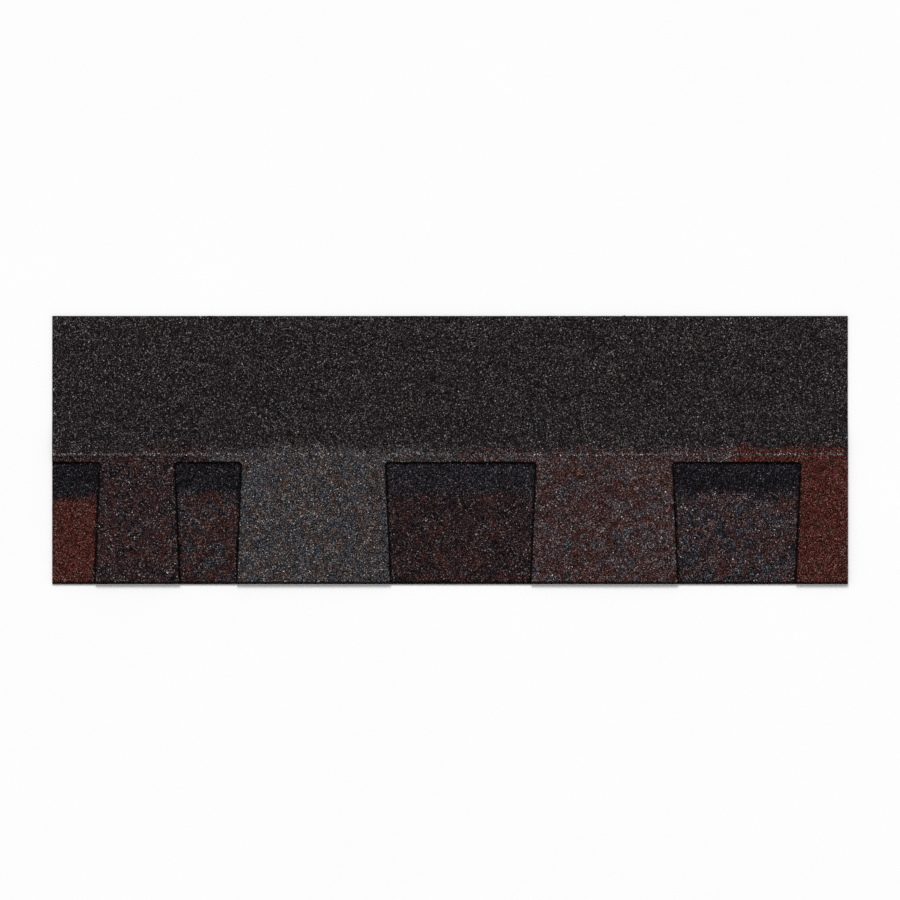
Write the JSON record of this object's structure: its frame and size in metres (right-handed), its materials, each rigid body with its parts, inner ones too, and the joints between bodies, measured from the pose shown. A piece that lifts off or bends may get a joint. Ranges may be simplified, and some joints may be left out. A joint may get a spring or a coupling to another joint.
{
  "type": "laminated asphalt shingle",
  "caption": "Flat laminated roofing shingle: a granule-faced sheet cut into dovetail teeth over a backing shim, with a plain headlap, sealant dashes and release film underneath.",
  "frame": {"origin": "middle of the shingle's outline, on the plane that it lies on", "axes": "+X along the course, +Y up the slope from the butt edge to the top edge, +Z out of the weather face"},
  "size_m": [1, 0.337, 0.0058],
  "materials": {
    "tooth_granules": "matte",
    "shim_granules": "matte",
    "sealant": "satin",
    "film": "gloss"
  },
  "bodies": {
    "root": {"tooth_sheet": "tooth_granules", "backing_shim": "shim_granules", "seal_strip": "sealant", "release_film": "film"}
  },
  "joints": []
}
